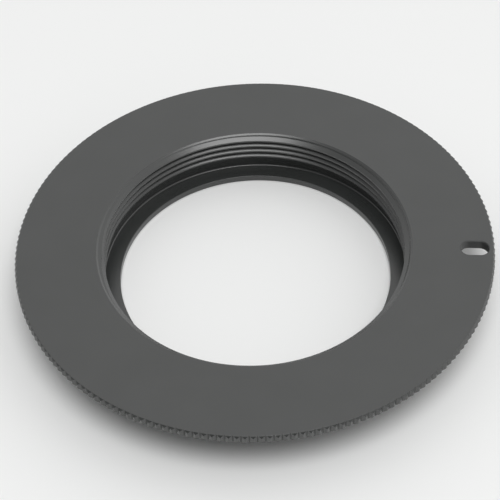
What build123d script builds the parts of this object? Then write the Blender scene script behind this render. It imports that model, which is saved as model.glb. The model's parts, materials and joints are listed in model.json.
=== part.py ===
from build123d import *
import os
from math import radians, sqrt, tan

# Lens mount adapter: one ring that takes a screw-thread lens at its face and locks into a camera
# by the three-lug bayonet behind its flange. It is turned and milled from one blank.
# The origin is on the optical axis, in the rear face that the ring rests on.
# +Z points to the lens, and the lock pin slot lies on +X. Sizes are in millimetres and degrees.

# Driving dimensions of the threaded bore
thread_diameter = 42.0
thread_pitch = 1.0
countersink_lead = 0.42
countersink_angle = 120.0
relief_width = 1.9
relief_clearance = 0.05
relief_corner_break = 0.25

# Driving dimensions of the inner lip below the thread
lip_reach = 1.76
lip_thickness = 1.0
lip_edge_break = 0.1

# Driving dimensions of the barrel and its bayonet
barrel_wall = 4.15
tail_length = 2.1
tail_step = 0.6
tail_edge_break = 0.4
lug_count = 3
lug_arc = 58.0
lug_height = 1.6
lug_thickness = 1.5
lug_gap = 2.0
lug_corner_radius = 0.4
lug_root_radius = 0.7
lug_edge_break = 0.25

# Driving dimensions of the flange
flange_thickness = 1.4
seat_width = 5.7
undercut_depth = 0.2
undercut_clearance = 0.4

# Driving dimensions of the straight knurl on the rim
knurl_teeth = 200
knurl_depth = 0.3
knurl_groove_angle = 116.0
rim_front_break = 0.25
rim_rear_break = 0.4

# Driving dimensions of the lock pin slot
slot_length = 3.8
slot_width = 2.4
slot_wall = 0.8
slot_edge_break = 0.12

# How far a cutter reaches past the surface it cuts
overcut = 1.0
knurl_overcut = 0.01

# Radii, from the bore outward
thread_radius = thread_diameter / 2
minor_radius = thread_radius - 5 / 16 * sqrt(3) * thread_pitch
countersink_radius = thread_radius + countersink_lead
relief_radius = thread_radius + relief_clearance
lip_radius = minor_radius - lip_reach
neck_radius = relief_radius + barrel_wall
tail_radius = neck_radius - tail_step
barrel_middle_radius = (relief_radius + tail_radius) / 2
lug_radius = neck_radius + lug_height
undercut_radius = lug_radius + undercut_clearance
flange_radius = lug_radius + seat_width
slot_radius = flange_radius - slot_wall - slot_length / 2

# Heights, from the rear face up
rear_z = 0.0
ledge_z = rear_z + lip_thickness
relief_z = ledge_z + relief_width
lug_z = rear_z + tail_length
lug_top_z = lug_z + lug_thickness
seat_z = lug_top_z + lug_gap
face_z = seat_z + flange_thickness
countersink_depth = (countersink_radius - minor_radius) / tan(radians(countersink_angle / 2))
countersink_z = face_z - countersink_depth


def corners(sketch, *places):
    """The corner of the sketch that lies nearest to each of the given places."""
    return [sketch.vertices().sort_by_distance(place)[0] for place in places]


def turned_barrel():
    """The barrel with its stepped bore: countersink, thread wall, thread relief and lip."""
    with BuildPart() as barrel:
        with BuildSketch(Plane.XZ) as section:
            with BuildLine():
                Polyline(
                    (lip_radius, rear_z),
                    (tail_radius, rear_z),
                    (tail_radius, lug_z),
                    (neck_radius, lug_z),
                    (neck_radius, face_z),
                    (countersink_radius, face_z),
                    (minor_radius, countersink_z),
                    (minor_radius, relief_z),
                    (relief_radius, relief_z),
                    (relief_radius, ledge_z),
                    (lip_radius, ledge_z),
                    close=True,
                )
            make_face()
            chamfer(corners(section, (relief_radius, ledge_z)), relief_corner_break)
            chamfer(corners(section, (lip_radius, rear_z), (lip_radius, ledge_z)), lip_edge_break)
            chamfer(corners(section, (tail_radius, rear_z)), tail_edge_break)
        revolve(axis=Axis.Z)
    return barrel.part


def bayonet_lugs():
    """The ring of lugs, rooted in the middle of the barrel wall, with milled gaps between the lugs."""
    half_lug = radians(lug_arc / 2)
    reach = lug_radius + overcut
    middle_radius = (neck_radius + lug_radius) / 2
    with BuildPart() as lugs:
        with BuildSketch(Plane.XY.offset(lug_z)) as plan:
            with PolarLocations(0, lug_count, start_angle=180 / lug_count):
                Polygon((0, 0), (reach, -reach * tan(half_lug)), (reach, reach * tan(half_lug)))
            Circle(lug_radius, mode=Mode.INTERSECT)
            Circle(neck_radius)
            outer_corners = plan.vertices().filter_by(lambda v: v.center().length > middle_radius)
            fillet(outer_corners, lug_corner_radius)
            root_corners = plan.vertices().filter_by(lambda v: v.center().length < middle_radius)
            fillet(root_corners, lug_root_radius)
            Circle(barrel_middle_radius, mode=Mode.SUBTRACT)
        extrude(amount=lug_thickness)
        rear_outline = lugs.faces().sort_by(Axis.Z)[0].outer_wire().edges()
        chamfer(rear_outline, lug_edge_break)
    return lugs.part


def knurled_flange():
    """The flange disc, open over the barrel: knurled rim, undercut behind the lugs, lock pin slot."""
    half_step = 180 / knurl_teeth
    groove_reach = knurl_depth + knurl_overcut
    groove_half_width = groove_reach * tan(radians(knurl_groove_angle / 2))
    with BuildPart() as flange:
        # The rim has one flat for each tooth, with the corners between the flats where the grooves go
        with BuildSketch(Plane.XY.offset(seat_z)):
            RegularPolygon(flange_radius, knurl_teeth, major_radius=False, rotation=half_step)
            Circle(barrel_middle_radius, mode=Mode.SUBTRACT)
        extrude(amount=flange_thickness)
        front_outline = flange.faces().sort_by(Axis.Z)[-1].outer_wire().edges()
        chamfer(front_outline, rim_front_break)
        rear_outline = flange.faces().sort_by(Axis.Z)[0].outer_wire().edges()
        chamfer(rear_outline, rim_rear_break)

        # The grooves between the teeth run the whole height of the rim
        with BuildSketch(Plane.XY.offset(seat_z)):
            with PolarLocations(flange_radius - knurl_depth, knurl_teeth, start_angle=half_step):
                Polygon((0, 0), (groove_reach, -groove_half_width), (groove_reach, groove_half_width))
        extrude(amount=flange_thickness, mode=Mode.SUBTRACT)

        # The undercut that keeps the seat clear of the lugs
        with BuildSketch(Plane.XY.offset(seat_z)):
            Circle(undercut_radius)
        extrude(amount=undercut_depth, mode=Mode.SUBTRACT)

        # The slot goes right through, with its long axis radial
        with BuildSketch(Plane.XY.offset(face_z)):
            with Locations((slot_radius, 0)):
                SlotOverall(slot_length, slot_width)
        extrude(amount=-flange_thickness, mode=Mode.SUBTRACT)
        chamfer(flange.edges(Select.LAST).group_by(Axis.Z)[-1], slot_edge_break)
    return flange.part


with BuildPart() as ring:
    add(turned_barrel())
    add(bayonet_lugs())
    add(knurled_flange())

os.makedirs("parts", exist_ok=True)
export_step(ring.part, "parts/adapter_ring.step")
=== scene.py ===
# %% [markdown]
# # A lens mount adapter
# This ring lets a screw-thread lens sit on a bayonet camera. It is one piece of aluminium, turned on a
# lathe, milled, knurled, blasted and dyed black. The lesson makes it again in the order of the workshop:
# turn a blank, add the bayonet, cut the slot, the thread and the knurl, and give it its finish.
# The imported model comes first. It fixes the place and the size of everything that follows.

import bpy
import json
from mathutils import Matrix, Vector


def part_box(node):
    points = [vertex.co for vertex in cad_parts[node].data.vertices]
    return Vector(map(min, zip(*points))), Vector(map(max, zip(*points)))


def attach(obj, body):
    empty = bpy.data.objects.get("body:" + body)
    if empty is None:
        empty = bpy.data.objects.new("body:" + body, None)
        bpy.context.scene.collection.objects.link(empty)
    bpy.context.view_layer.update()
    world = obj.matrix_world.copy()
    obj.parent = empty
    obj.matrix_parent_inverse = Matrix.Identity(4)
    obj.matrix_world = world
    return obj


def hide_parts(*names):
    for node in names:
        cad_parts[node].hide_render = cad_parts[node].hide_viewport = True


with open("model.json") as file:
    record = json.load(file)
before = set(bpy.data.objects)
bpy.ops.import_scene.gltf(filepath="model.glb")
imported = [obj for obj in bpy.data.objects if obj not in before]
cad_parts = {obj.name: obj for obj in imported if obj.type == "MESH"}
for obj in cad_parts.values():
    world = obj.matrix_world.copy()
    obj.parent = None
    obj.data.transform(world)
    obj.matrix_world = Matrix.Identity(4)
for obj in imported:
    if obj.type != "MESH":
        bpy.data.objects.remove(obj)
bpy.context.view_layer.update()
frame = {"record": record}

# %% [markdown]
# ## Sizes
# A turned part is a list of radii and heights, so they come first, in millimetres, as on a drawing.
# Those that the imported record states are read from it, so that they follow the model. The others are
# the breaks, steps and tooth sizes that the record has no place for.

# %% Sizes from the record
import json
from math import asin, cos, pi, radians, sin, tan

import bmesh
import bpy
from mathutils import Matrix, Quaternion, Vector

mounts = {mount["name"]: mount for mount in frame["record"]["mounts"]}
ring_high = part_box("adapter_ring")[1]

flange_radius = ring_high[0] * 1000
face_z = ring_high[2] * 1000
seat_z = mounts["camera_seat"]["pos_m"][2] * 1000
minor_radius = mounts["lens_thread"]["dims"]["r_mm"]
slot_radius = mounts["lock_pin_slot"]["pos_m"][0] * 1000
print("Flange radius", flange_radius, "face", face_z, "seat", seat_z, "bore radius", minor_radius)

# %% Sizes of the turned steps
mouth_radius, mouth_round, mouth_slope = 21.45, 0.1, radians(34)
recess_radius, recess_slope = 21.22, radians(6)
relief_radius, relief_z, relief_round = 21.05, 2.9, 0.25
lip_radius, ledge_z, lip_ease, lip_break = 18.7, 1.0, 0.06, 0.12
tail_radius, tail_break = 24.6, 0.4
neck_radius, lug_z, lug_top_z = 25.2, 2.1, 3.6
undercut_radius, undercut_z = 27.2, 5.8
rim_front_break, rim_rear_break = 0.25, 0.4
recess_z = face_z - (mouth_radius - recess_radius) * tan(mouth_slope)
recess_foot_z = recess_z - (recess_radius - minor_radius) * tan(recess_slope)
print("The mouth of the bore goes down to", round(recess_z, 3), "and to", round(recess_foot_z, 3))

# %% [markdown]
# ## The turned blank
# On the lathe, one outline turned about the axis makes the whole ring. The Screw modifier does the same:
# it spins an outline, drawn as a loop of edges, round Z. A stack of cylinders joined together would
# also give the steps, but its inner walls would have to be cleaned out afterwards.
# No machined edge is perfectly sharp, and it is the tiny round along each edge that catches the light,
# so every corner of the outline is eased by a few hundredths of a millimetre. Where the drawing asks for
# a larger radius, as at the mouth of the bore, the corner states its own.

# %% An outline with eased corners
edge_ease = 0.04
ease_steps, round_steps = 2, 6


def eased(outline):
    """The closed outline of (radius, height, corner radius), with each corner replaced by its arc."""
    points = []
    for before, corner, after in zip(outline[-1:] + outline[:-1], outline, outline[1:] + outline[:1]):
        radius = corner[2]
        steps = ease_steps if radius == edge_ease else round_steps
        corner = Vector(corner[:2])
        to_before = (Vector(before[:2]) - corner).normalized()
        to_after = (Vector(after[:2]) - corner).normalized()
        half_angle = to_before.angle(to_after) / 2
        middle = corner + (to_before + to_after).normalized() * radius / sin(half_angle)
        start = corner + to_before * radius / tan(half_angle) - middle
        end = corner + to_after * radius / tan(half_angle) - middle
        points += [middle + radius * start.slerp(end, step / steps) for step in range(steps + 1)]
    return points


section = eased([
    (lip_radius, lip_break, edge_ease),
    (lip_radius + lip_break, 0, edge_ease),
    (tail_radius - tail_break, 0, edge_ease),
    (tail_radius, tail_break, edge_ease),
    (tail_radius, lug_z, edge_ease),
    (neck_radius, lug_z, edge_ease),
    (neck_radius, undercut_z, edge_ease),
    (undercut_radius, undercut_z, edge_ease),
    (undercut_radius, seat_z, edge_ease),
    (flange_radius - rim_rear_break, seat_z, edge_ease),
    (flange_radius, seat_z + rim_rear_break, edge_ease),
    (flange_radius, face_z - rim_front_break, edge_ease),
    (flange_radius - rim_front_break, face_z, edge_ease),
    (mouth_radius, face_z, mouth_round),
    (recess_radius, recess_z, edge_ease),
    (minor_radius, recess_foot_z, edge_ease),
    (minor_radius, relief_z, edge_ease),
    (relief_radius, relief_z, edge_ease),
    (relief_radius, ledge_z, relief_round),
    (lip_radius, ledge_z, lip_ease),
])
print("The section has", len(section), "points")

# %% Helpers for meshes
def mesh_object(name, points, edges=(), faces=()):
    """A mesh object from plain lists, with its faces turned outwards."""
    mesh = bpy.data.meshes.new(name)
    mesh.from_pydata(points, edges, faces)
    shape = bmesh.new()
    shape.from_mesh(mesh)
    bmesh.ops.recalc_face_normals(shape, faces=shape.faces)
    shape.to_mesh(mesh)
    shape.free()
    made = bpy.data.objects.new(name, mesh)
    bpy.context.collection.objects.link(made)
    return made


def outline_object(name, points):
    """A mesh object that is one closed loop of edges."""
    count = len(points)
    return mesh_object(name, points, [(index, (index + 1) % count) for index in range(count)])


def plain_mesh(source, name):
    """The evaluated shape of an object, with its modifiers worked in, as a mesh of its own."""
    evaluated = source.evaluated_get(bpy.context.evaluated_depsgraph_get())
    mesh = bpy.data.meshes.new_from_object(evaluated)
    mesh.name = name
    return mesh


print("Helpers: mesh_object, outline_object and plain_mesh")

# %% Spin the outline
turn_steps = 360
turned = outline_object("turned_outline", [(radius, 0, height) for radius, height in section])
spin = turned.modifiers.new("spin", "SCREW")
spin.steps = spin.render_steps = turn_steps
spin.use_merge_vertices = True
spin.merge_threshold = 0.001
blank_mesh = plain_mesh(turned, "turned_blank")
blank = mesh_object(
    "blank",
    [vertex.co[:] for vertex in blank_mesh.vertices],
    faces=[face.vertices[:] for face in blank_mesh.polygons],
)
bpy.data.objects.remove(turned)
print("The blank has", len(blank.data.polygons), "faces")

# %% [markdown]
# ## One tree for tools that repeat round the axis
# The lugs, the slot and the knurl have one thing in common: a small shape, set round the axis a number
# of times, and then joined to the blank or cut from it. One Geometry Nodes tree does that. It puts
# points on the axis, hangs one copy of the tool on each, turns the copy by its share of a full turn,
# makes the copies real and runs a Boolean. An Array modifier could place the copies as well, but the
# tree keeps the number and the start angle as named inputs that can be changed on the modifier.
# The edges that the Boolean makes are marked sharp, because a cutter leaves a crisp edge.

# %% Helpers for node trees
def geometry_tree(name, inputs):
    """A tree with geometry in and out, and a named input of the given kind for each size."""
    tree = bpy.data.node_groups.new(name, "GeometryNodeTree")
    tree.interface.new_socket("Geometry", in_out="INPUT", socket_type="NodeSocketGeometry")
    for title, kind in inputs.items():
        tree.interface.new_socket(title, in_out="INPUT", socket_type="NodeSocket" + kind)
    tree.interface.new_socket("Geometry", in_out="OUTPUT", socket_type="NodeSocketGeometry")
    return tree


def put(tree, kind, inputs=None, **settings):
    """Adds a node, and sets or links its inputs: a socket is linked, anything else is a value."""
    made = tree.nodes.new(kind)
    for setting, value in settings.items():
        setattr(made, setting, value)
    for title, value in (inputs or {}).items():
        if isinstance(value, bpy.types.NodeSocket):
            tree.links.new(value, made.inputs[title])
        else:
            made.inputs[title].default_value = value
    return made


def add_step(piece, tree, values):
    """Adds the tree to the piece as a modifier, with its inputs set by their identifiers."""
    step = piece.modifiers.new(tree.name, "NODES")
    step.node_group = tree
    for socket in tree.interface.items_tree:
        if socket.in_out == "INPUT" and socket.name in values:
            step[socket.identifier] = values[socket.name]


print("Helpers: geometry_tree, put and add_step")

# %% How each tree ends
def end_tree(tree, boolean, material):
    """Marks the Boolean's new edges sharp, makes everything real and gives it the finish."""
    crisp = put(
        tree, "GeometryNodeSetShadeSmooth",
        {"Geometry": boolean.outputs["Mesh"], "Selection": boolean.outputs["Intersecting Edges"],
         "Shade Smooth": False}, domain="EDGE",
    )
    real = put(tree, "GeometryNodeRealizeInstances", {"Geometry": crisp.outputs[0]})
    finish = put(tree, "GeometryNodeSetMaterial", {"Geometry": real.outputs[0], "Material": material})
    put(tree, "NodeGroupOutput", {"Geometry": finish.outputs[0]})


black_anodised = bpy.data.materials.new("black_anodised")
print("Each tree ends with the material", black_anodised.name)

# %% The tree that sets a tool round the axis
def round_the_axis(name, operation):
    """The tree that joins or cuts copies of a tool, spread evenly round Z."""
    tree = geometry_tree(name, {"Tool": "Object", "Count": "Int", "Start": "Float", "Finish": "Material"})
    given = put(tree, "NodeGroupInput").outputs
    tool = put(tree, "GeometryNodeObjectInfo", {"Object": given["Tool"]})
    points = put(tree, "GeometryNodePoints", {"Count": given["Count"]})
    share = put(tree, "ShaderNodeMath", {0: 2 * pi, 1: given["Count"]}, operation="DIVIDE")
    index = put(tree, "GeometryNodeInputIndex")
    angle = put(
        tree, "ShaderNodeMath",
        {0: index.outputs[0], 1: share.outputs[0], 2: given["Start"]}, operation="MULTIPLY_ADD",
    )
    turn = put(tree, "ShaderNodeCombineXYZ", {"Z": angle.outputs[0]})
    copies = put(
        tree, "GeometryNodeInstanceOnPoints",
        {"Points": points.outputs[0], "Instance": tool.outputs["Geometry"], "Rotation": turn.outputs[0]},
    )
    real = put(tree, "GeometryNodeRealizeInstances", {"Geometry": copies.outputs[0]})
    boolean = put(tree, "GeometryNodeMeshBoolean", operation=operation, solver="MANIFOLD")
    # A union takes every mesh in one socket, a difference has a socket for the mesh that is cut
    blank_socket = "Mesh 2" if operation == "UNION" else "Mesh 1"
    tree.links.new(given["Geometry"], boolean.inputs[blank_socket])
    tree.links.new(real.outputs[0], boolean.inputs["Mesh 2"])
    end_tree(tree, boolean, given["Finish"])
    return tree


join_round = round_the_axis("join_round_the_axis", "UNION")
cut_round = round_the_axis("cut_round_the_axis", "DIFFERENCE")
print("Trees:", join_round.name, len(join_round.nodes), "nodes,", cut_round.name, len(cut_round.nodes))

# %% [markdown]
# ## The bayonet lugs
# Three lugs behind the flange turn into the camera's mount and hold the ring there. Seen from the rear,
# a lug is a piece of a wider circle with rounded outer corners, and it runs into the neck with a radius,
# because the milling cutter that clears the gaps is round. The outline is worked out from those circles
# and radii, and then raised to the lug's thickness with a break along its rear edge.

# %% Helpers for outlines
def polar(radius, angle):
    """The point in the plane at this distance and direction from the axis."""
    return Vector((radius * cos(angle), radius * sin(angle)))


def arc(centre, radius, start, end, steps):
    """Points along an arc in the plane, from one angle to another."""
    angles = [start + (end - start) * step / steps for step in range(steps + 1)]
    return [centre + polar(radius, angle) for angle in angles]


def lofted(name, layers):
    """A closed solid between outlines of equal length, stacked along Z."""
    count = len(layers[0][0])
    points = [(point.x, point.y, height) for outline, height in layers for point in outline]
    walls = [
        (level * count + i, level * count + (i + 1) % count,
         (level + 1) * count + (i + 1) % count, (level + 1) * count + i)
        for level in range(len(layers) - 1) for i in range(count)
    ]
    ends = [tuple(range(count)), tuple(range(len(points) - count, len(points)))]
    return mesh_object(name, points, faces=walls + ends)


print("Helpers: polar, arc and lofted")

# %% The plan of a lug
lug_count, lug_half_angle = 3, radians(29)
lug_radius, lug_corner, lug_root, lug_break = 26.8, 0.4, 0.7, 0.25
lug_bite = 0.8
crown_steps, corner_steps, root_steps, inner_steps = 58, 4, 5, 62


def lug_plan(inset):
    """The lug seen along the axis, smaller by an inset on its free edges."""
    outer, corner, root = lug_radius - inset, lug_corner - inset, lug_root + inset
    neck = neck_radius - inset
    side = lug_half_angle
    axis = Vector((0, 0))
    slack = asin((corner + inset) / (outer - corner))
    spread = asin((root - inset) / (neck + root))
    tip = arc(polar(outer - corner, side - slack), corner, side - slack, side + pi / 2, corner_steps)
    foot = arc(polar(neck + root, side + spread), root, side - pi / 2, side + spread - pi, root_steps)
    half = tip + foot
    crown = arc(axis, outer, slack - side, side - slack, crown_steps)
    other_half = [Vector((point.x, -point.y)) for point in reversed(half)]
    inner = arc(axis, neck_radius - lug_bite, side + spread, -side - spread, inner_steps)
    return crown[1:-1] + half + inner + other_half


print("The lug's plan has", len(lug_plan(0)), "points")

# %% Three lugs
lug = lofted("lug", [
    (lug_plan(lug_break), lug_z),
    (lug_plan(0), lug_z + lug_break),
    (lug_plan(0), lug_top_z),
])
add_step(blank, join_round, {
    "Tool": lug, "Count": lug_count, "Start": pi / lug_count, "Finish": black_anodised,
})
print("A lug has", len(lug.data.polygons), "faces")

# %% [markdown]
# ## The lock pin slot
# The camera's lock pin springs into this slot from behind when the ring has been turned home. It is cut
# right through the flange with its long side pointing at the axis, and its front edge is broken. A
# cutter with a flared top makes the slot and the break in one go.

# %% The slot cutter
slot_length, slot_width, slot_break, overcut = 3.8, 2.4, 0.12, 0.3
slot_end_steps = 24


def slot_plan(grow):
    """The slot's outline, larger by this much all round."""
    radius = slot_width / 2 + grow
    reach = (slot_length - slot_width) / 2
    outer_end = arc(Vector((slot_radius + reach, 0)), radius, -pi / 2, pi / 2, slot_end_steps)
    inner_end = arc(Vector((slot_radius - reach, 0)), radius, pi / 2, 3 * pi / 2, slot_end_steps)
    return outer_end + inner_end


slot_cutter = lofted("slot_cutter", [
    (slot_plan(0), seat_z - overcut),
    (slot_plan(0), face_z - slot_break),
    (slot_plan(slot_break + overcut), face_z + overcut),
])
add_step(blank, cut_round, {"Tool": slot_cutter, "Count": 1, "Start": 0.0, "Finish": black_anodised})
print("The slot cutter has", len(slot_cutter.data.polygons), "faces")

# %% [markdown]
# ## The screw thread
# The lens screws into a right-hand thread of 42 mm with a pitch of 1 mm. A thread tool is a small V that
# moves up by one pitch for each turn, and the tree below does just that: a Spiral gives the path, Set
# Curve Normal keeps the tool pointing straight out, Curve to Mesh sweeps the V along it, and a Boolean
# takes the sweep out of the bore. Stacked rings would look much the same from afar, but on a true
# thread the ridges climb, and they run out in the mouth of the bore at one side first.

# %% The thread tool
thread_pitch, thread_turns, thread_start_z, thread_steps = 1.0, 5.25, 2.51, 240
groove_radius, groove_floor, flank = 21.04, 0.08, radians(30)
tool_back = minor_radius - 0.25
tool_neck = minor_radius - 0.04


def groove_width(radius):
    """How wide the thread groove is at this distance from the axis."""
    return groove_floor + 2 * (groove_radius - radius) * tan(flank)


neck_half = groove_width(tool_neck) / 2
thread_tool = outline_object("thread_tool", [
    (0, -neck_half, 0),
    (tool_neck - tool_back, -neck_half, 0),
    (groove_radius - tool_back, -groove_floor / 2, 0),
    (groove_radius - tool_back, groove_floor / 2, 0),
    (tool_neck - tool_back, neck_half, 0),
    (0, neck_half, 0),
])
print("Groove width at the crests:", round(groove_width(minor_radius), 3))

# %% The tree that cuts a thread
tip_share = 0.2


def thread_tree(name):
    """The tree that sweeps a tool along a helix and cuts it from the mesh."""
    tree = geometry_tree(name, {
        "Tool": "Object", "Radius": "Float", "Pitch": "Float", "Turns": "Float",
        "Start Height": "Float", "Start Angle": "Float", "Lead-in": "Float", "Steps per Turn": "Int",
        "Finish": "Material",
    })
    given = put(tree, "NodeGroupInput").outputs
    tool = put(tree, "GeometryNodeObjectInfo", {"Object": given["Tool"]})
    profile = put(tree, "GeometryNodeMeshToCurve", {"Mesh": tool.outputs["Geometry"]})
    rise = put(tree, "ShaderNodeMath", {0: given["Pitch"], 1: given["Turns"]}, operation="MULTIPLY")
    helix = put(tree, "GeometryNodeCurveSpiral", {
        "Resolution": given["Steps per Turn"], "Rotations": given["Turns"],
        "Start Radius": given["Radius"], "End Radius": given["Radius"], "Height": rise.outputs[0],
        "Reverse": True,
    })
    start = put(tree, "ShaderNodeCombineXYZ", {"Z": given["Start Height"]})
    turn = put(tree, "ShaderNodeCombineXYZ", {"Z": given["Start Angle"]})
    lifted = put(tree, "GeometryNodeTransform", {
        "Geometry": helix.outputs[0], "Translation": start.outputs[0], "Rotation": turn.outputs[0],
    })
    upright = put(tree, "GeometryNodeSetCurveNormal", {"Curve": lifted.outputs[0]}, mode="Z_UP")
    # Over its lead-in the tool grows from its tip share to its full size, so that it sinks in gently
    along = put(tree, "GeometryNodeSplineParameter").outputs["Factor"]
    grown = put(tree, "ShaderNodeMapRange", {
        "Value": along, "From Min": -0.001, "From Max": given["Lead-in"],
        "To Min": tip_share, "To Max": 1.0,
    }).outputs["Result"]
    sweep = put(tree, "GeometryNodeCurveToMesh", {
        "Curve": upright.outputs[0], "Profile Curve": profile.outputs[0], "Scale": grown,
        "Fill Caps": True,
    })
    cut = put(
        tree, "GeometryNodeMeshBoolean", {"Mesh 1": given["Geometry"], "Mesh 2": sweep.outputs[0]},
        operation="DIFFERENCE", solver="MANIFOLD",
    )
    end_tree(tree, cut, given["Finish"])
    return tree


cut_thread = thread_tree("cut_thread")
print("Tree:", cut_thread.name, len(cut_thread.nodes), "nodes")

# %% Cut the thread
add_step(blank, cut_thread, {
    "Tool": thread_tool, "Radius": tool_back, "Pitch": thread_pitch, "Turns": thread_turns,
    "Start Height": thread_start_z, "Start Angle": 0.0, "Lead-in": 0.0,
    "Steps per Turn": thread_steps, "Finish": black_anodised,
})
print("Thread:", thread_turns, "turns from height", thread_start_z)

# %% [markdown]
# ## The start of the thread
# Where the thread comes out at the mouth of the bore, its last turn would end in a thin feather edge that
# bends and jams. A good thread has it milled away, back to where the ridge has its full height. The
# same tree does that: a tool with a slanted foot follows the last groove for one turn and clears all
# above it. A lead-in lets it sink into the ridge little by little, without a step where it begins.

# %% Clear the feather edge
clear_turn, clear_lead = 3.46, 0.14
clear_radius, clear_foot, clear_height = 21.2, 21.02, 1.3
clear_start_z = thread_start_z + clear_turn * thread_pitch
clear_tool = outline_object("clear_tool", [
    (0, -clear_height, 0),
    (clear_radius - tool_back, -clear_height, 0),
    (clear_radius - tool_back, clear_foot - clear_radius, 0),
    (clear_foot - tool_back, 0, 0),
    (0, 0, 0),
])
add_step(blank, cut_thread, {
    "Tool": clear_tool, "Radius": tool_back, "Pitch": thread_pitch, "Turns": 1.0,
    "Start Height": clear_start_z, "Start Angle": 2 * pi * clear_turn, "Lead-in": clear_lead,
    "Steps per Turn": thread_steps, "Finish": black_anodised,
})
print("The first turn is cleared from height", round(clear_start_z, 3))

# %% [markdown]
# ## The knurled rim
# Fine straight teeth round the rim give the fingers a grip. A knurling wheel presses 200 grooves into
# it, so the cutter is one V-shaped bar, and the tree from above sets it round the axis 200 times.
# The bars reach only a hair past the rim, because wide bars would meet each other further out.

# %% The knurl cutter
knurl_teeth, knurl_depth, knurl_angle = 200, 0.3, radians(116)
knurl_out = 0.015
half_width = (knurl_depth + knurl_out) * tan(knurl_angle / 2)
groove_plan = [
    Vector((flange_radius - knurl_depth, 0)),
    Vector((flange_radius + knurl_out, half_width)),
    Vector((flange_radius + knurl_out, -half_width)),
]
knurl_cutter = lofted(
    "knurl_cutter", [(groove_plan, seat_z - overcut), (groove_plan, face_z + overcut)]
)
add_step(blank, cut_round, {
    "Tool": knurl_cutter, "Count": knurl_teeth, "Start": pi / knurl_teeth, "Finish": black_anodised,
})
print("Knurl:", knurl_teeth, "grooves of depth", knurl_depth)

# %% [markdown]
# ## The finished piece
# The modifiers are now worked into one plain mesh, scaled from millimetres to metres. Smooth shading
# makes the facets of the curved walls vanish, and every edge that turns by more than a set angle is
# marked sharp, so that the steps and teeth stay crisp. Where a flat face meets a rounded corner, smooth
# shading would bend the light on the flat as well, so a Weighted Normal modifier lets the larger face
# decide. The tools have done their work and go.

# %% From the modifiers to one mesh
millimetre = 0.001
sharp_angle = radians(32)
ring_mesh = plain_mesh(blank, "adapter_ring_machined")
for leftover in (blank, lug, slot_cutter, thread_tool, clear_tool, knurl_cutter):
    bpy.data.objects.remove(leftover)
ring_mesh.transform(Matrix.Scale(millimetre, 4))
ring_mesh.shade_smooth()
cut_edges = [edge.use_edge_sharp for edge in ring_mesh.edges]
ring_mesh.set_sharp_from_angle(angle=sharp_angle)
for edge, was_cut in zip(ring_mesh.edges, cut_edges):
    edge.use_edge_sharp = edge.use_edge_sharp or was_cut
print("Sharp edges:", sum(edge.use_edge_sharp for edge in ring_mesh.edges))

# %% Flat faces stay flat
ring = bpy.data.objects.new("adapter_ring_machined", ring_mesh)
bpy.context.collection.objects.link(ring)
flatten = ring.modifiers.new("flat_faces_stay_flat", "WEIGHTED_NORMAL")
flatten.keep_sharp = True
ring.data = plain_mesh(ring, "adapter_ring_machined")
ring.modifiers.remove(flatten)
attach(ring, "root")
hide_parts("adapter_ring")
print("The ring has", len(ring.data.polygons), "faces")

# %% Is the mesh closed?
check = bmesh.new()
check.from_mesh(ring.data)
open_edges = sum(not edge.is_manifold for edge in check.edges)
triangles = sum(len(face.verts) - 2 for face in check.faces)
volume = check.calc_volume() / millimetre ** 3
check.free()
print("Open edges:", open_edges, "triangles:", triangles, "volume in mm3:", round(volume, 1))

# %% [markdown]
# ## The anodised finish
# Blasting leaves the aluminium matte, and the dye in the anodised layer makes it a very dark grey, never
# quite black, because the rough surface scatters light of its own. The bore and the rim are only turned,
# so they are smoother and shine more. A single colour would look like plastic. Here the distance from
# the axis, from Object coordinates, tells the turned parts from the blasted ones, fine noise gives the
# blasted grain, and noise that reads only radius and height gives the faint rings that a lathe leaves.

# %% Helpers for shading
def material_tree(material):
    """A clean node tree for the material, with its surface shader."""
    material.use_nodes = True
    tree = material.node_tree
    tree.nodes.clear()
    shader = put(tree, "ShaderNodeBsdfPrincipled")
    put(tree, "ShaderNodeOutputMaterial", {"Surface": shader.outputs[0]})
    return tree, shader


def fade(tree, value, none, full):
    """Goes softly from 0 to 1 while the value goes from one number to another."""
    return put(
        tree, "ShaderNodeMapRange", {"Value": value, "From Min": none, "From Max": full},
        interpolation_type="SMOOTHSTEP",
    ).outputs["Result"]


print("Helpers: material_tree and fade")

# %% Where the ring is only turned
tree, shader = material_tree(black_anodised)
place = put(tree, "ShaderNodeTexCoord").outputs["Object"]
parts = put(tree, "ShaderNodeSeparateXYZ", {"Vector": place}).outputs
flat = put(tree, "ShaderNodeCombineXYZ", {"X": parts["X"], "Y": parts["Y"]}).outputs[0]
radius = put(tree, "ShaderNodeVectorMath", {0: flat}, operation="LENGTH").outputs["Value"]
bore = fade(tree, radius, 0.02151, 0.02146)
rim = fade(tree, radius, 0.03224, 0.03228)
turned_only = put(tree, "ShaderNodeMath", {0: bore, 1: rim}, operation="MAXIMUM").outputs[0]
print("The turned finish begins inside a radius of 21.5 mm and outside one of 32.2 mm")

# %% Colour
darker_dye, lighter_dye = (0.029, 0.031, 0.030, 1), (0.033, 0.035, 0.034, 1)
mottle = put(tree, "ShaderNodeTexNoise", {"Vector": place, "Scale": 180.0, "Detail": 3.0}).outputs["Fac"]
dye = put(tree, "ShaderNodeValToRGB", {"Fac": mottle})
for stop, position, colour in zip(dye.color_ramp.elements, (0.3, 0.7), (darker_dye, lighter_dye)):
    stop.position = position
    stop.color = colour
tree.links.new(dye.outputs["Color"], shader.inputs["Base Color"])
shader.inputs["IOR"].default_value = 1.75
print("The dye varies with a grain of about 5 mm")

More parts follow.
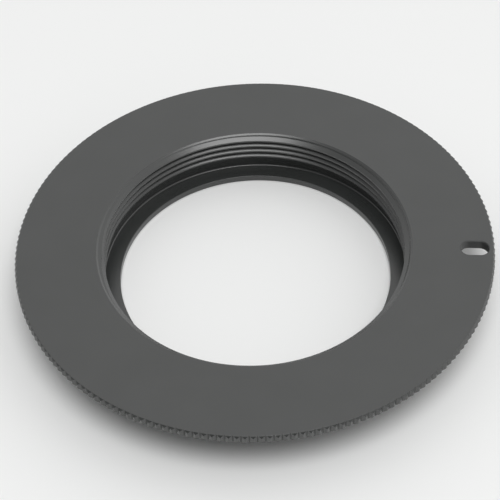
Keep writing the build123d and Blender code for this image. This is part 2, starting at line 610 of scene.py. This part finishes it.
# %% Roughness and grain
blasted_roughness, turned_roughness = 0.5, 0.27
gloss = put(
    tree, "ShaderNodeMapRange",
    {"Value": turned_only, "To Min": blasted_roughness, "To Max": turned_roughness},
).outputs["Result"]
tree.links.new(gloss, shader.inputs["Roughness"])
grain = put(tree, "ShaderNodeTexNoise", {"Vector": place, "Scale": 9000.0, "Detail": 2.0}).outputs["Fac"]
turned_place = put(tree, "ShaderNodeCombineXYZ", {"X": radius, "Y": parts["Z"]}).outputs[0]
rings = put(
    tree, "ShaderNodeTexNoise", {"Vector": turned_place, "Scale": 12000.0, "Detail": 1.0}
).outputs["Fac"]
texture = put(
    tree, "ShaderNodeMix", {0: turned_only, 2: grain, 3: rings}, data_type="FLOAT"
).outputs[0]
bump = put(
    tree, "ShaderNodeBump", {"Height": texture, "Strength": 0.25, "Distance": 0.00002}
).outputs[0]
tree.links.new(bump, shader.inputs["Normal"])
print("The finish has", len(tree.nodes), "nodes")

# %% [markdown]
# ## The floor and the light
# The ring lies on pale paper under one large soft lamp, with a glow from all round. A large lamp close by
# gives the soft shadow under the flange. The glow is brightest low down at the back right, and dark
# where the camera stands, because a camera and its stand keep light away: on black metal that shows.
# The lamp and the glow together bring the paper to about the brightness of its own colour.

# %% Floor
floor = mesh_object("floor", [(-2, -2, 0), (2, -2, 0), (2, 2, 0), (-2, 2, 0)], faces=[(0, 1, 2, 3)])
pale_paper = bpy.data.materials.new("pale_paper")
paper = material_tree(pale_paper)[1]
paper.inputs["Base Color"].default_value = (0.87, 0.875, 0.87, 1)
paper.inputs["Roughness"].default_value = 0.9
paper.inputs["Specular IOR Level"].default_value = 0.2
floor.data.materials.append(pale_paper)
print("Floor at height 0")

# %% Lamp
lamp_data = bpy.data.lights.new("soft_lamp", "AREA")
lamp_data.shape = "DISK"
lamp_data.size = 0.66
lamp_data.energy = 4.4
lamp = bpy.data.objects.new("soft_lamp", lamp_data)
lamp.location = (0.08, -0.27, 0.86)
lamp.rotation_mode = "QUATERNION"
lamp.rotation_quaternion = lamp.location.to_track_quat("Z", "Y")
bpy.context.collection.objects.link(lamp)
print("Lamp", lamp_data.energy, "W")

# %% Glow
bright_side = Vector((0.5, 0.72, -0.48)).normalized()
dark_side = Vector((0.07, -0.66, 0.75)).normalized()
glow_low, glow_high = 0.26, 1.38
dark_from, dark_full = 0.82, 0.95

world = bpy.data.worlds.new("studio_glow")
bpy.context.scene.world = world
world.use_nodes = True
sky = world.node_tree
direction = put(sky, "ShaderNodeTexCoord").outputs["Generated"]
to_bright, to_dark = (
    put(sky, "ShaderNodeVectorMath", {0: direction, 1: side}, operation="DOT_PRODUCT").outputs["Value"]
    for side in (bright_side, dark_side)
)
glow = put(
    sky, "ShaderNodeMapRange",
    {"Value": to_bright, "From Min": -1.0, "From Max": 1.0, "To Min": glow_low, "To Max": glow_high},
).outputs["Result"]
open_sky = fade(sky, to_dark, dark_full, dark_from)
strength = put(sky, "ShaderNodeMath", {0: glow, 1: open_sky}, operation="MULTIPLY").outputs[0]
sky.links.new(strength, sky.nodes["Background"].inputs["Strength"])
sky.nodes["Background"].inputs["Color"].default_value = (1, 1, 1, 1)
print("Glow from", glow_low, "to", glow_high)

# %% [markdown]
# ## The camera
# The photograph looks down on the ring at about 47 degrees, from near by, through a long lens. The place,
# the aim and the small roll come from fitting the ring's circles, so that they fall where the
# photograph has them.

# %% Camera
camera_data = bpy.data.cameras.new("camera")
camera_data.lens = 112.0
camera_data.sensor_width = 36.0
camera = bpy.data.objects.new("camera", camera_data)
camera.location = (0.01422, -0.1427, 0.16205)
aim = Vector((-0.00043, -0.00153, 0.007))
roll = radians(-2.82)
camera.rotation_mode = "QUATERNION"
upright_look = (aim - camera.location).to_track_quat("-Z", "Y")
camera.rotation_quaternion = upright_look @ Quaternion((0, 0, 1), roll)
bpy.context.collection.objects.link(camera)
bpy.context.scene.camera = camera
bpy.context.scene.view_settings.view_transform = "Standard"
print("Camera", round((aim - camera.location).length * 1000), "mm from its aim")

# %% Bring the scene up to date
bpy.context.view_layer.update()
